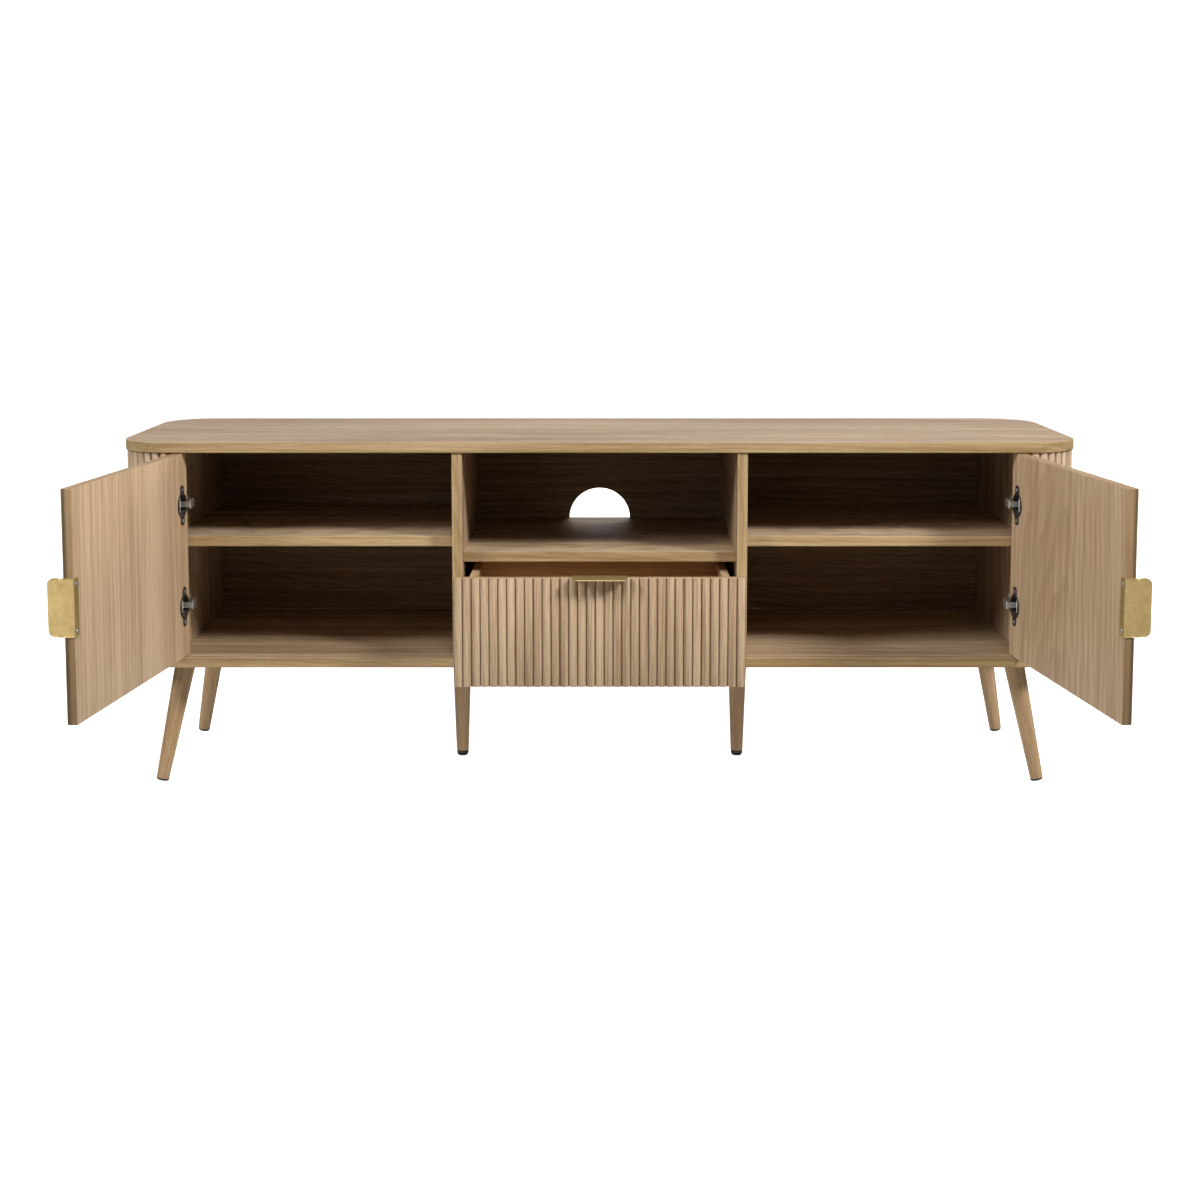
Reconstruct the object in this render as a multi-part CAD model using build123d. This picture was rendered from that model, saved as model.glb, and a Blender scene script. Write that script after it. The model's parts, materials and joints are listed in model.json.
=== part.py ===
from build123d import *
import os
from math import atan2, cos, degrees, pi, sin

# Media cabinet with reeded doors, drawer front and wrapped ends, on six legs.
# Millimetres. X runs along the front, -Y is the front, +Z is up. The origin is on the floor,
# below the centre of the top panel. The doors stand open and the drawer is part way out.

# ---------------------------------------------------------------- driving dimensions

WIDTH = 1500.0  # top panel, end to end
DEPTH = 400.0
HEIGHT = 550.0
LEG_HEIGHT = 196.0  # floor to the underside of the bottom panel
BOARD = 16.0
CORNER_RADIUS = 80.0  # top and bottom panels, seen from above
EASING = 1.0  # rounding of the panels' rims

BAY_HALF = 213.5  # half the clear width between the partitions
SIDE_INNER = 666.0  # side panels' inner faces
PARTITION_SETBACK = 3.0
SHELF_SETBACK = 25.0
SHELF_PLAY = 0.5  # gap round a loose shelf
CENTRE_SHELF_TOP = 375.5
SIDE_SHELF_TOP = 400.0

REED_DEPTH = 3.5
REED_PITCH = 12.85
SKIN_INSET = 2.0  # reeded crests inside the top panel's edge
SKIN_THICKNESS = 9.0
SKIN_END_X = 668.0
BATTEN = 18.0
BATTEN_GLUE = 0.2

BACK_THICKNESS = 5.0
BACK_FRONT_Y = 183.0
BACK_EDGE_X = 678.0
BACK_PLAY = 0.5
CABLE_HOLE_RADIUS = 53.0

REVEAL = 1.5  # gap above and below the doors and the drawer front
DOOR_FREE_X = 232.0
DOOR_HINGE_X = 664.0
DOOR_REEDS = 34
DOOR_OPEN_DEG = 97.3
PIVOT_FROM_EDGE = 11.0
PIVOT_FROM_INNER_FACE = 7.5

HINGE_FROM_END = 80.0
CUP_FROM_EDGE = 22.0
CUP_RADIUS = 17.5
CUP_WALL = 0.9
CUP_FLOOR = 0.6
CUP_DEPTH = 10.8
CUP_FLANGE = 1.2
CUP_SCREW_SPACING = 48.0
PIN_RADIUS = 1.2
PIN_PLAY = 0.05
PIN_HALF_LENGTH = 12.4
ARM_HALF_HEIGHT = 6.5
ARM_NECK_HALF_HEIGHT = 4.5
ARM_METAL = 2.4

DRAWER_HALF = 212.0
DRAWER_TOP = 373.5
DRAWER_REEDS = 33
DRAWER_OPEN = 198.0
DRAWER_BOX_HALF = 201.0
DRAWER_WALL = 12.0
DRAWER_BOX_LENGTH = 310.0
DRAWER_BOX_Z = (218.0, 344.0)
DRAWER_FLOOR_Z = (226.0, 231.0)
GROOVE = 6.0

RUNNER_LENGTH = 300.0
RUNNER_FRONT_GAP = 6.0
RUNNER_Z = 286.0
RUNNER_METAL = 1.2
OUTER_RUNNER_HALF = 22.5
MIDDLE_RUNNER_HALF = 20.5
INNER_RUNNER_HALF = 17.0

HANDLE_LENGTH = 80.0
HANDLE_PLATE = 1.5
HANDLE_FLANGE = 13.5
HANDLE_TAB = 20.0
HANDLE_CORNER = 9.0
HANDLE_FLANGE_CORNER = 4.0
HANDLE_SCREW_SPACING = 64.0

CORNER_LEG_TOP = (663.0, 126.0)
CORNER_LEG_FOOT = (701.0, 153.0)
CENTRE_LEG_X = 230.5
LEG_TOP_RADIUS = 16.3
LEG_FOOT_RADIUS = 10.1
LEG_PLATE = 2.5
LEG_PLATE_SIZE = 60.0
LEG_COLLAR_RADIUS = 7.0
LEG_COLLAR_HEIGHT = 9.0
LEG_BOLT_RADIUS = 4.0
LEG_BOLT_IN_WOOD = 45.0
GLIDE_THICKNESS = 3.0
GLIDE_RADIUS = 9.4
LEVELLER_HEIGHT = 9.0
LEVELLER_STEM_RADIUS = 3.95
LEVELLER_BORE_RADIUS = 4.0

# ---------------------------------------------------------------- derived places

TOP_Z = (HEIGHT - BOARD, HEIGHT)
BOTTOM_Z = (LEG_HEIGHT, LEG_HEIGHT + BOARD)
INSIDE_Z = (BOTTOM_Z[1], TOP_Z[0])
FRONT_Y = -DEPTH / 2
CREST_Y = FRONT_Y + SKIN_INSET  # closed doors, drawer front and wrapped ends share this plane
INNER_FACE_Y = CREST_Y + BOARD
CORNER_X = WIDTH / 2 - CORNER_RADIUS
CORNER_Y = DEPTH / 2 - CORNER_RADIUS
SKIN_CREST_RADIUS = CORNER_RADIUS - SKIN_INSET
SKIN_BACKING_RADIUS = SKIN_CREST_RADIUS - SKIN_THICKNESS
PARTITION_X = (BAY_HALF, BAY_HALF + BOARD)
SIDE_X = (SIDE_INNER, SIDE_INNER + BOARD)
UPRIGHT_CENTRES = (sum(PARTITION_X) / 2, sum(SIDE_X) / 2)
DOOR_Z = (INSIDE_Z[0] + REVEAL, INSIDE_Z[1] - REVEAL)
DOOR_MIDDLE_Z = sum(DOOR_Z) / 2
HINGE_HEIGHTS = (DOOR_Z[0] + HINGE_FROM_END, DOOR_Z[1] - HINGE_FROM_END)
PIVOT = (DOOR_HINGE_X - PIVOT_FROM_EDGE, INNER_FACE_Y - PIVOT_FROM_INNER_FACE)
CUP_X = DOOR_HINGE_X - CUP_FROM_EDGE
LEG_TOP_Z = LEG_HEIGHT - LEG_PLATE


# ---------------------------------------------------------------- shared shapes


def block(x, y, z):
    """Rectangular board between the (low, high) limits given for each axis."""
    centre = [(low + high) / 2 for low, high in (x, y, z)]
    size = [high - low for low, high in (x, y, z)]
    return Pos(*centre) * Box(*size)


def around(middle, half):
    """Limits at the same distance each side of a middle value."""
    return (middle - half, middle + half)


def rod(start, end, radius, end_radius=None):
    """Round bar from start to end, tapering to end_radius where that is given."""
    start, end = Vector(*start), Vector(*end)
    plane = Plane(origin=start, z_dir=end - start)
    length = (end - start).length
    if end_radius is None:
        return Part() + Solid.make_cylinder(radius, length, plane)
    return Part() + Solid.make_cone(radius, end_radius, length, plane)


def screw(seat, tip, shank=1.75, head=3.4, head_height=1.5):
    """Pan-head screw: the head's underside bears at seat, and the point ends at tip."""
    seat, tip = Vector(*seat), Vector(*tip)
    along = (tip - seat).normalized()
    shoulder = tip - along * shank * 2
    cap = rod(seat - along * head_height, seat, head * 0.7, head)
    return cap + rod(seat, shoulder, shank) + rod(shoulder, tip, shank, shank * 0.2)


def less(shape, cutters):
    """The shape with every cutter taken out of it."""
    for cutter in cutters:
        shape = shape - cutter
    return shape


def mirrored(shape):
    """The same shape on the other side of the cabinet's centre plane."""
    return mirror(shape, about=Plane.YZ)


def both_sides(shapes):
    """Shapes of the right side together with their mirror images on the left."""
    return list(shapes) + [mirrored(shape) for shape in shapes]


def group(shapes):
    """Separate solids that share one node."""
    return Compound([solid for shape in shapes for solid in shape.solids()])


def reeded_board(x, z, reeds):
    """Upright board with convex reeds down its front, their crests at CREST_Y."""
    low_x, high_x = x
    pitch = (high_x - low_x) / reeds
    valley_y = CREST_Y + REED_DEPTH
    outline = []
    for index in range(reeds):
        left = low_x + index * pitch
        crest = (left + pitch / 2, CREST_Y)
        outline.append(ThreePointArc((left, valley_y), crest, (left + pitch, valley_y)))
    corners = ((high_x, valley_y), (high_x, INNER_FACE_Y), (low_x, INNER_FACE_Y), (low_x, valley_y))
    outline += Polyline(*corners).edges()
    return Pos(0, 0, z[0]) * extrude(make_face(outline), z[1] - z[0], dir=(0, 0, 1))


def strip(points, thickness, z):
    """Metal strip on edge, straight between the points and rounded at each of them."""
    plan = Sketch()
    for (x0, y0), (x1, y1) in zip(points, points[1:]):
        length = ((x1 - x0) ** 2 + (y1 - y0) ** 2) ** 0.5
        turn = degrees(atan2(y1 - y0, x1 - x0))
        plan += Pos((x0 + x1) / 2, (y0 + y1) / 2) * SlotCenterToCenter(length, thickness, turn)
    return Pos(0, 0, z[0]) * extrude(plan, z[1] - z[0], dir=(0, 0, 1))


# ---------------------------------------------------------------- fasteners of the carcass

DOWEL_RADIUS = 4.0
DOWEL_Y = 120.0
DOWEL_IN_BOARD = 12.0
DOWEL_IN_EDGE = 15.0
CARCASS_SCREW_Y = 80.0
CARCASS_SCREW_TIP = 34.0  # above the bottom panel's upper face
SHELF_PIN_RADIUS = 2.5
SHELF_PIN_Y = 140.0
SHELF_PIN_IN_BOARD = 8.0
SHELF_PIN_PROUD = 9.0
BACK_SCREW_XS = (217.0, 226.0, 672.0)
BACK_SCREW_ZS = (232.0, 373.0, 514.0)
BACK_SCREW_LENGTH = 14.0
BACK_SCREW_HEAD = 1.4  # sunk flush with the back panels


def carcass_dowels():
    """Right-hand dowels: upright ones into the top panel, level ones into the centre shelf."""
    dowels = []
    shelf_z = CENTRE_SHELF_TOP - BOARD / 2
    for y in (-DOWEL_Y, DOWEL_Y):
        for x in UPRIGHT_CENTRES:
            low, high = TOP_Z[0] - DOWEL_IN_EDGE, TOP_Z[0] + DOWEL_IN_BOARD
            dowels.append(rod((x, y, low), (x, y, high), DOWEL_RADIUS))
        near, far = BAY_HALF - DOWEL_IN_EDGE, BAY_HALF + DOWEL_IN_BOARD
        dowels.append(rod((near, y, shelf_z), (far, y, shelf_z), DOWEL_RADIUS))
    return dowels


def carcass_screws():
    """Right-hand screws driven up through the bottom panel into the uprights."""
    screws = []
    for x in UPRIGHT_CENTRES:
        for y in (-CARCASS_SCREW_Y, CARCASS_SCREW_Y):
            tip = (x, y, BOTTOM_Z[1] + CARCASS_SCREW_TIP)
            screws.append(screw((x, y, BOTTOM_Z[0]), tip, 2.5, 4.5, 2.0))
    return screws


def shelf_pins():
    """Right-hand pins under the loose side shelf."""
    z = SIDE_SHELF_TOP - BOARD - SHELF_PIN_RADIUS
    pins = []
    for y in (-SHELF_PIN_Y, SHELF_PIN_Y):
        for face, inward in ((PARTITION_X[1], 1), (SIDE_X[0], -1)):
            start = (face - inward * SHELF_PIN_IN_BOARD, y, z)
            pins.append(rod(start, (face + inward * SHELF_PIN_PROUD, y, z), SHELF_PIN_RADIUS))
    return pins


def back_screws():
    """Right-hand screws that hold the back panels to the uprights' rear edges."""
    seat_y = BACK_FRONT_Y + BACK_THICKNESS - BACK_SCREW_HEAD
    return [
        screw((x, seat_y, z), (x, seat_y - BACK_SCREW_LENGTH, z), 1.5, 3.2, BACK_SCREW_HEAD)
        for x in BACK_SCREW_XS
        for z in BACK_SCREW_ZS
    ]


# ---------------------------------------------------------------- legs

LEG_SCREW_HALF_SPACING = 22.0
LEG_PLATE_CORNER = 8.0
LEG_SCREW_TIP = 12.0
COLLAR_POCKET_RADIUS = 11.0
COLLAR_POCKET_DEPTH = 12.0


def leg_axis(top, foot):
    """Unit vector from a leg's top centre to its foot centre, both given in plan."""
    return Vector(foot[0] - top[0], foot[1] - top[1], -LEG_HEIGHT).normalized()


def leg_set(top, foot, tip_z, foot_radius):
    """Leg, plate, bolt and plate screws. The leg's axis ends at tip_z."""
    axis = leg_axis(top, foot)
    head = Vector(top[0], top[1], LEG_TOP_Z)
    end = head + axis * ((LEG_TOP_Z - tip_z) / -axis.Z)
    taper = (LEG_TOP_RADIUS - foot_radius) / (end - head).length
    rise = 8.0
    leg = rod(head - axis * rise, end, LEG_TOP_RADIUS + rise * taper, foot_radius)
    reach = LEG_TOP_RADIUS * 2
    leg -= block(
        around(top[0], reach), around(top[1], reach), (LEG_TOP_Z, LEG_TOP_Z + reach)
    )

    bolt = rod(
        head - axis * (LEG_PLATE + LEG_COLLAR_HEIGHT), head + axis * LEG_BOLT_IN_WOOD, LEG_BOLT_RADIUS
    )
    plan = Pos(*top, LEG_TOP_Z) * RectangleRounded(LEG_PLATE_SIZE, LEG_PLATE_SIZE, LEG_PLATE_CORNER)
    plate = extrude(plan, LEG_PLATE, dir=(0, 0, 1))
    collar = rod(head + axis * reach, head - axis * (LEG_PLATE + LEG_COLLAR_HEIGHT), LEG_COLLAR_RADIUS)
    collar -= block(
        around(top[0], reach * 2), around(top[1], reach * 2), (0, LEG_TOP_Z + LEG_PLATE / 2)
    )
    screws = []
    for dx in (-LEG_SCREW_HALF_SPACING, LEG_SCREW_HALF_SPACING):
        for dy in (-LEG_SCREW_HALF_SPACING, LEG_SCREW_HALF_SPACING):
            x, y = top[0] + dx, top[1] + dy
            screws.append(screw((x, y, LEG_TOP_Z), (x, y, LEG_HEIGHT + LEG_SCREW_TIP), 2.0, 3.8, 1.8))
    plate = less(plate + collar - bolt, screws)
    return leg - bolt, plate, bolt, screws, end, axis


def corner_glide(end, axis):
    """Thin round pad across a corner leg's squared-off foot."""
    return rod(end, end + axis * GLIDE_THICKNESS, LEG_FOOT_RADIUS - 0.3, GLIDE_RADIUS)


def corner_tip_z():
    """Height of the corner legs' foot centres that puts the pads' lowest points on the floor."""
    axis = leg_axis(CORNER_LEG_TOP, CORNER_LEG_FOOT)
    lean = (1 - axis.Z**2) ** 0.5
    return GLIDE_RADIUS * lean - axis.Z * GLIDE_THICKNESS


LEVELLER_GAP = 0.3
LEVELLER_STEM = 22.0
LEVELLER_FACE_RADIUS = 6.5
LEVELLER_RIM_Z = 5.5


def leveller(x):
    """Domed adjusting foot with a plain stem standing in for its thread."""
    top = LEVELLER_HEIGHT - LEVELLER_GAP
    rim = LEG_FOOT_RADIUS - 0.4
    dome = ((LEVELLER_FACE_RADIUS + rim) / 2 + 1.0, LEVELLER_RIM_Z * 0.36)
    outline = [
        *Polyline((0, 0), (LEVELLER_FACE_RADIUS, 0)).edges(),
        ThreePointArc((LEVELLER_FACE_RADIUS, 0), dome, (rim, LEVELLER_RIM_Z)),
        *Polyline(
            (rim, LEVELLER_RIM_Z),
            (rim, top),
            (LEVELLER_STEM_RADIUS, top),
            (LEVELLER_STEM_RADIUS, top + LEVELLER_STEM),
            (0, top + LEVELLER_STEM),
            (0, 0),
        ).edges(),
    ]
    return Pos(x, 0, 0) * revolve(Plane.XZ * make_face(outline), Axis.Z)


def leveller_bore(x):
    """Bore up a centre leg that takes the leveller's stem."""
    return rod((x, 0, 0), (x, 0, LEVELLER_HEIGHT + LEVELLER_STEM + 2), LEVELLER_BORE_RADIUS)


# ---------------------------------------------------------------- carcass


def main_panel(z):
    """Top or bottom panel: rounded corners in plan and eased rims."""
    panel = extrude(Pos(0, 0, z[0]) * RectangleRounded(WIDTH, DEPTH, CORNER_RADIUS), z[1] - z[0])
    faces = panel.faces().sort_by(Axis.Z)
    return fillet(faces[0].edges() + faces[-1].edges(), EASING)


def skin_point(distance, radius):
    """Plan point of a right-hand wrapped end.

    distance runs along the backing line from the front end, round the front corner, along
    the side and round the rear corner. radius is the corner radius of the wanted layer.
    """
    straight = CORNER_X - SKIN_END_X
    arc = SKIN_BACKING_RADIUS * pi / 2
    middle = straight + arc + CORNER_Y
    if distance > middle:
        x, y = skin_point(2 * middle - distance, radius)
        return (x, -y)
    if distance < straight:
        return (SKIN_END_X + distance, -CORNER_Y - radius)
    if distance < straight + arc:
        angle = (distance - straight) / SKIN_BACKING_RADIUS
        return (CORNER_X + radius * sin(angle), -CORNER_Y - radius * cos(angle))
    return (CORNER_X + radius, -CORNER_Y + distance - straight - arc)


def reeded_end():
    """Right-hand wrapped end: reeded outside, smooth inside, round both corners."""
    length = 2 * (CORNER_X - SKIN_END_X) + SKIN_BACKING_RADIUS * pi + 2 * CORNER_Y
    reeds = round(length / REED_PITCH)
    pitch = length / reeds
    valley_radius = SKIN_CREST_RADIUS - REED_DEPTH
    outline = []
    for index in range(reeds):
        start = skin_point(index * pitch, valley_radius)
        crest = skin_point((index + 0.5) * pitch, SKIN_CREST_RADIUS)
        outline.append(ThreePointArc(start, crest, skin_point((index + 1) * pitch, valley_radius)))
    radius = SKIN_BACKING_RADIUS
    side_x = CORNER_X + radius
    bend_x, bend_y = CORNER_X + radius * sin(pi / 4), CORNER_Y + radius * cos(pi / 4)
    rear_y = CORNER_Y + radius
    outline += Polyline(
        (SKIN_END_X, CORNER_Y + valley_radius), (SKIN_END_X, rear_y), (CORNER_X, rear_y)
    ).edges()
    outline.append(ThreePointArc((CORNER_X, rear_y), (bend_x, bend_y), (side_x, CORNER_Y)))
    outline += Polyline((side_x, CORNER_Y), (side_x, -CORNER_Y)).edges()
    outline.append(ThreePointArc((side_x, -CORNER_Y), (bend_x, -bend_y), (CORNER_X, -rear_y)))
    outline += Polyline(
        (CORNER_X, -rear_y), (SKIN_END_X, -rear_y), (SKIN_END_X, -CORNER_Y - valley_radius)
    ).edges()
    height = INSIDE_Z[1] - INSIDE_Z[0]
    return Pos(0, 0, INSIDE_Z[0]) * extrude(make_face(outline), height, dir=(0, 0, 1))


def skin_inner_y(x):
    """How far from the centre line the inside of a wrapped end is, at x within its corner."""
    return CORNER_Y + (SKIN_BACKING_RADIUS**2 - (x - CORNER_X) ** 2) ** 0.5


def end_battens():
    """Right-hand upright battens between the side panel and the wrapped end."""
    x = (SIDE_X[1], SIDE_X[1] + BATTEN)
    corner_y = skin_inner_y(x[1]) - BATTEN_GLUE
    middle_x = (CORNER_X + SKIN_BACKING_RADIUS - BATTEN, CORNER_X + SKIN_BACKING_RADIUS)
    return [
        block(x, (-corner_y, -corner_y + 2 * BATTEN), INSIDE_Z),
        block(middle_x, around(0, BATTEN), INSIDE_Z),
        block(x, (corner_y - 2 * BATTEN, corner_y), INSIDE_Z),
    ]


def back_panel(x):
    """Thin back board between two X limits, nailed over the uprights' rear edges."""
    y = (BACK_FRONT_Y, BACK_FRONT_Y + BACK_THICKNESS)
    return block(x, y, (INSIDE_Z[0] + BACK_PLAY, INSIDE_Z[1] - BACK_PLAY))


def cable_hole():
    """Half-round way for cables, standing on the centre shelf's upper face."""
    y = (BACK_FRONT_Y - 1, BACK_FRONT_Y + BACK_THICKNESS + 1)
    whole = rod((0, y[0], CENTRE_SHELF_TOP), (0, y[1], CENTRE_SHELF_TOP), CABLE_HOLE_RADIUS)
    reach = CABLE_HOLE_RADIUS + 1
    return whole - block(around(0, reach), y, (CENTRE_SHELF_TOP - reach, CENTRE_SHELF_TOP))


# ---------------------------------------------------------------- handles

HANDLE_BEND = 1.2
HANDLE_SCREW_INSET = 7.0
HANDLE_SCREW_LENGTH = 10.5


def handle_set():
    """Folded plate handle and its two screws, lying over a board's edge.

    Local frame: x out of the edge, y as on the closed door or drawer front, z along the plate.
    """
    half = HANDLE_LENGTH / 2
    back_y = INNER_FACE_Y + HANDLE_PLATE
    web = block((0, HANDLE_PLATE), (CREST_Y - HANDLE_TAB, back_y), (-half, half))
    web = fillet(web.edges().filter_by(Axis.X).sort_by(Axis.Y)[:2], HANDLE_CORNER)
    flange = block((-HANDLE_FLANGE, HANDLE_PLATE), (INNER_FACE_Y, back_y), (-half, half))
    flange = fillet(flange.edges().filter_by(Axis.Y).sort_by(Axis.X)[:2], HANDLE_FLANGE_CORNER)
    plate = web + flange
    bend = plate.edges().filter_by(Axis.Z).sort_by_distance((HANDLE_PLATE, back_y, 0))[0]
    plate = fillet(bend, HANDLE_BEND)
    screws = [
        screw((-HANDLE_SCREW_INSET, back_y, z), (-HANDLE_SCREW_INSET, back_y - HANDLE_SCREW_LENGTH, z))
        for z in (-HANDLE_SCREW_SPACING / 2, HANDLE_SCREW_SPACING / 2)
    ]
    return less(plate, screws), screws


# ---------------------------------------------------------------- hinges, right side, door closed

CUP_FLANGE_LENGTH = 62.0
CUP_FLANGE_WIDTH = 15.0
CUP_RIM = 1.8
EYE_RADIUS = 2.3
ARM_SEAT_X = 6.0  # arm's rear run, from the pivot towards the side panel
ARM_ROUTE = ((16.0, 0.0), (16.0, 22.0), (-ARM_SEAT_X, 34.0), (-ARM_SEAT_X, 84.0))
PLATE_Y = (44.0, 88.0)
PLATE_WING_Y = (54.0, 68.0)
PLATE_WING_HALF = 25.0
PLATE_WING_METAL = 2.2
PLATE_SCREW_HALF_SPACING = 16.0
PLATE_SCREW_LENGTH = 13.0
ARM_SCREW_Y = 76.0


def from_pivot(x, y):
    """Plan point given from the pivot, x towards the cabinet's centre and y towards its back."""
    return (PIVOT[0] - x, PIVOT[1] + y)


def hinge_pin(z):
    """Upright pin across the cup."""
    return rod((*PIVOT, z - PIN_HALF_LENGTH), (*PIVOT, z + PIN_HALF_LENGTH), PIN_RADIUS)


def hinge_cup(z):
    """Drilled-in cup with its screw flange, and the two flange screws."""
    mouth_y = INNER_FACE_Y
    floor_y = mouth_y - CUP_DEPTH
    plan = RectangleRounded(CUP_FLANGE_WIDTH, CUP_FLANGE_LENGTH, CUP_FLANGE_WIDTH / 2 - 1)
    plan += Circle(CUP_RADIUS + CUP_RIM)
    placed = Plane(origin=(CUP_X, mouth_y, z), x_dir=(1, 0, 0), z_dir=(0, 1, 0)) * plan
    flange = extrude(placed, CUP_FLANGE, dir=(0, 1, 0))
    shell = rod((CUP_X, floor_y, z), (CUP_X, mouth_y, z), CUP_RADIUS)
    hollow = rod(
        (CUP_X, floor_y + CUP_FLOOR, z), (CUP_X, mouth_y + CUP_FLANGE * 2, z), CUP_RADIUS - CUP_WALL
    )
    seat_y = mouth_y + CUP_FLANGE
    screws = [
        screw((CUP_X, seat_y, z + dz), (CUP_X, seat_y - 11.0, z + dz), 1.75, 3.2, 1.2)
        for dz in (-CUP_SCREW_SPACING / 2, CUP_SCREW_SPACING / 2)
    ]
    return less(flange + shell - hollow, [hinge_pin(z), *screws]), screws


def cup_pocket(z):
    """Hole in the door that takes the cup."""
    return rod((CUP_X, INNER_FACE_Y - CUP_DEPTH, z), (CUP_X, INNER_FACE_Y + 1, z), CUP_RADIUS)


def hinge_arm(z):
    """Cranked arm: an eye round the pin, a narrow neck out of the cup, and a seat on its plate."""
    neck_z = around(z, ARM_NECK_HALF_HEIGHT)
    route = [from_pivot(*point) for point in ARM_ROUTE]
    arm = strip([PIVOT, route[0]], ARM_METAL, neck_z)
    arm += rod((*PIVOT, neck_z[0]), (*PIVOT, neck_z[1]), EYE_RADIUS)
    arm += strip(route, ARM_METAL, around(z, ARM_HALF_HEIGHT))
    return arm - rod((*PIVOT, neck_z[0] - 1), (*PIVOT, neck_z[1] + 1), PIN_RADIUS + PIN_PLAY)


def hinge_plate_set(z):
    """Mounting plate on the side panel, its two screws, and the screw that clamps the arm."""
    arm_x = PIVOT[0] + ARM_SEAT_X + ARM_METAL / 2
    y = [PIVOT[1] + value for value in PLATE_Y]
    wing_y = [PIVOT[1] + value for value in PLATE_WING_Y]
    plate = block((arm_x, SIDE_INNER), y, around(z, ARM_HALF_HEIGHT))
    wing_x = (SIDE_INNER - PLATE_WING_METAL, SIDE_INNER)
    plate += block(wing_x, wing_y, around(z, PLATE_WING_HALF))
    screw_y = sum(wing_y) / 2
    screws = [
        screw((wing_x[0], screw_y, z + dz), (wing_x[0] + PLATE_SCREW_LENGTH, screw_y, z + dz))
        for dz in (-PLATE_SCREW_HALF_SPACING, PLATE_SCREW_HALF_SPACING)
    ]
    clamp_y = PIVOT[1] + ARM_SCREW_Y
    arm_face_x = arm_x - ARM_METAL
    clamp = screw((arm_face_x, clamp_y, z), (arm_face_x + 7.5, clamp_y, z), 2.0, 3.4, 1.4)
    return less(plate, [*screws, clamp]), screws, clamp


# ---------------------------------------------------------------- drawer and runners, closed

RUNNER_HEAD = 0.9
RUNNER_SCREW_YS = (-150.0, 100.0)


def channel(web_x, lip_x, half_height):
    """Right-hand runner member: an upright web and a level lip along each of its edges."""
    y = (INNER_FACE_Y + RUNNER_FRONT_GAP, INNER_FACE_Y + RUNNER_FRONT_GAP + RUNNER_LENGTH)
    low, high = around(RUNNER_Z, half_height)
    web = block(web_x, y, (low, high))
    return web + block(lip_x, y, (low, low + RUNNER_METAL)) + block(lip_x, y, (high - RUNNER_METAL, high))


def runner_members():
    """Outer member on the partition, middle member, and inner member on the drawer side."""
    outer = channel((BAY_HALF - RUNNER_METAL, BAY_HALF), (BAY_HALF - 7.5, BAY_HALF), OUTER_RUNNER_HALF)
    middle_face = BAY_HALF - 2.7
    middle_web = (middle_face - RUNNER_METAL, middle_face)
    middle = channel(middle_web, (DRAWER_BOX_HALF + 3, middle_face), MIDDLE_RUNNER_HALF)
    inner_web = (DRAWER_BOX_HALF, DRAWER_BOX_HALF + RUNNER_METAL)
    inner = channel(inner_web, (DRAWER_BOX_HALF, DRAWER_BOX_HALF + 6.5), INNER_RUNNER_HALF)
    return outer, middle, inner


def runner_screws():
    """Flat-headed screws: outer member to partition, then inner member to drawer side."""
    outer_seat = BAY_HALF - RUNNER_METAL
    inner_seat = DRAWER_BOX_HALF + RUNNER_METAL
    fixed, moving = [], []
    for y in RUNNER_SCREW_YS:
        start, end = (outer_seat, y, RUNNER_Z), (outer_seat + 12, y, RUNNER_Z)
        fixed.append(screw(start, end, 1.75, 3.2, RUNNER_HEAD))
        start, end = (inner_seat, y, RUNNER_Z), (inner_seat - 10, y, RUNNER_Z)
        moving.append(screw(start, end, 1.75, 3.2, RUNNER_HEAD))
    return fixed, moving


def drawer_box():
    """Right side, back and floor of the drawer, and the right-hand screws through its side."""
    side_x = (DRAWER_BOX_HALF - DRAWER_WALL, DRAWER_BOX_HALF)
    rear_y = INNER_FACE_Y + DRAWER_BOX_LENGTH
    back_y = (rear_y - DRAWER_WALL, rear_y)
    floor = block(
        around(0, side_x[0] + GROOVE), (INNER_FACE_Y, back_y[0] + GROOVE), DRAWER_FLOOR_Z
    )
    screws = []
    for z in (DRAWER_BOX_Z[0] + 30, DRAWER_BOX_Z[1] - 30):
        y = sum(back_y) / 2
        screws.append(screw((side_x[1], y, z), (side_x[1] - 32, y, z), 2.0, 3.6, 1.2))
    side = block(side_x, (INNER_FACE_Y, rear_y), DRAWER_BOX_Z)
    back = block(around(0, side_x[0]), back_y, DRAWER_BOX_Z)
    return side - floor, back - floor, floor, screws


# ---------------------------------------------------------------- building every node

nodes = {}

top_dowels = both_sides(carcass_dowels())
bottom_screws = both_sides(carcass_screws())
pins = both_sides(shelf_pins())
rear_screws = both_sides(back_screws())

plates, leg_bolts, leg_screws, glides, pockets = [], [], [], [], []
corner_z = corner_tip_z()
for side, sx in (("left", -1), ("right", 1)):
    for end_name, sy in (("front", -1), ("rear", 1)):
        top = (sx * CORNER_LEG_TOP[0], sy * CORNER_LEG_TOP[1])
        foot = (sx * CORNER_LEG_FOOT[0], sy * CORNER_LEG_FOOT[1])
        leg, plate, bolt, screws, end, axis = leg_set(top, foot, corner_z, LEG_FOOT_RADIUS)
        nodes[f"{end_name}_{side}_leg"] = leg
        glides.append(corner_glide(end, axis))
        plates.append(plate)
        leg_bolts.append(bolt)
        leg_screws += screws
        pockets.append(top)
    x = sx * CENTRE_LEG_X
    leg, plate, bolt, screws, end, axis = leg_set((x, 0), (x, 0), LEVELLER_HEIGHT, LEG_FOOT_RADIUS)
    nodes[f"centre_{side}_leg"] = leg - leveller_bore(x)
    nodes[f"{side}_leveller"] = leveller(x)
    plates.append(plate)
    leg_bolts.append(bolt)
    leg_screws += screws
    pockets.append((x, 0))
nodes["corner_glides"] = group(glides)
nodes["leg_plates"] = group(plates)
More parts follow.
